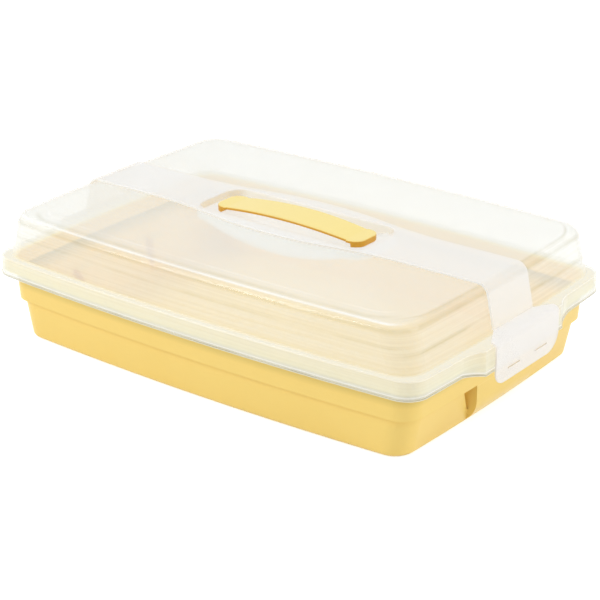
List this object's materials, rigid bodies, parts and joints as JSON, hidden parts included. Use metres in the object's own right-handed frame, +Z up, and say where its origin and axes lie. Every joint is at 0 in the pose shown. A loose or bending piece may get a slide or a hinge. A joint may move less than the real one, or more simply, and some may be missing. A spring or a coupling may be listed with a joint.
{
  "type": "rectangular cake container",
  "caption": "Rectangular cake carrier: yellow tray, clear raised cover, carrying band over the top with swinging end clips, and an arched handle in a finger well.",
  "frame": {"origin": "on the surface the tray stands on, below the middle of the container", "axes": "+X along the long side, +Y across to the far long side, +Z up"},
  "size_m": [0.4442, 0.292, 0.1147],
  "materials": {
    "yellow_tray": "satin",
    "yellow_handle": "satin",
    "clear_cover": "clear, polished",
    "milky_band": "milky, satin"
  },
  "bodies": {
    "tray": {"base_tray": "yellow_tray"},
    "cover": {"dome_lid": "clear_cover"},
    "band": {"carry_band": "milky_band", "handle": "yellow_handle"},
    "left_clip": {"clip_left": "milky_band"},
    "right_clip": {"clip_right": "milky_band"}
  },
  "joints": [
    {"name": "cover_lift", "type": "slide", "parent": "tray", "child": "cover", "axis": [0, 0, 1], "range_m": [0, 0.09]},
    {"name": "band_lift", "type": "slide", "parent": "cover", "child": "band", "axis": [0, 0, 1], "range_m": [0, 0.08]},
    {"name": "clip_left_fold", "type": "hinge", "parent": "band", "child": "left_clip", "pos_m": [-0.20827, 0, 0.076], "axis": [0, 1, 0], "range_deg": [0, 100]},
    {"name": "clip_right_fold", "type": "hinge", "parent": "band", "child": "right_clip", "pos_m": [0.20827, 0, 0.076], "axis": [0, -1, 0], "range_deg": [0, 100]}
  ]
}
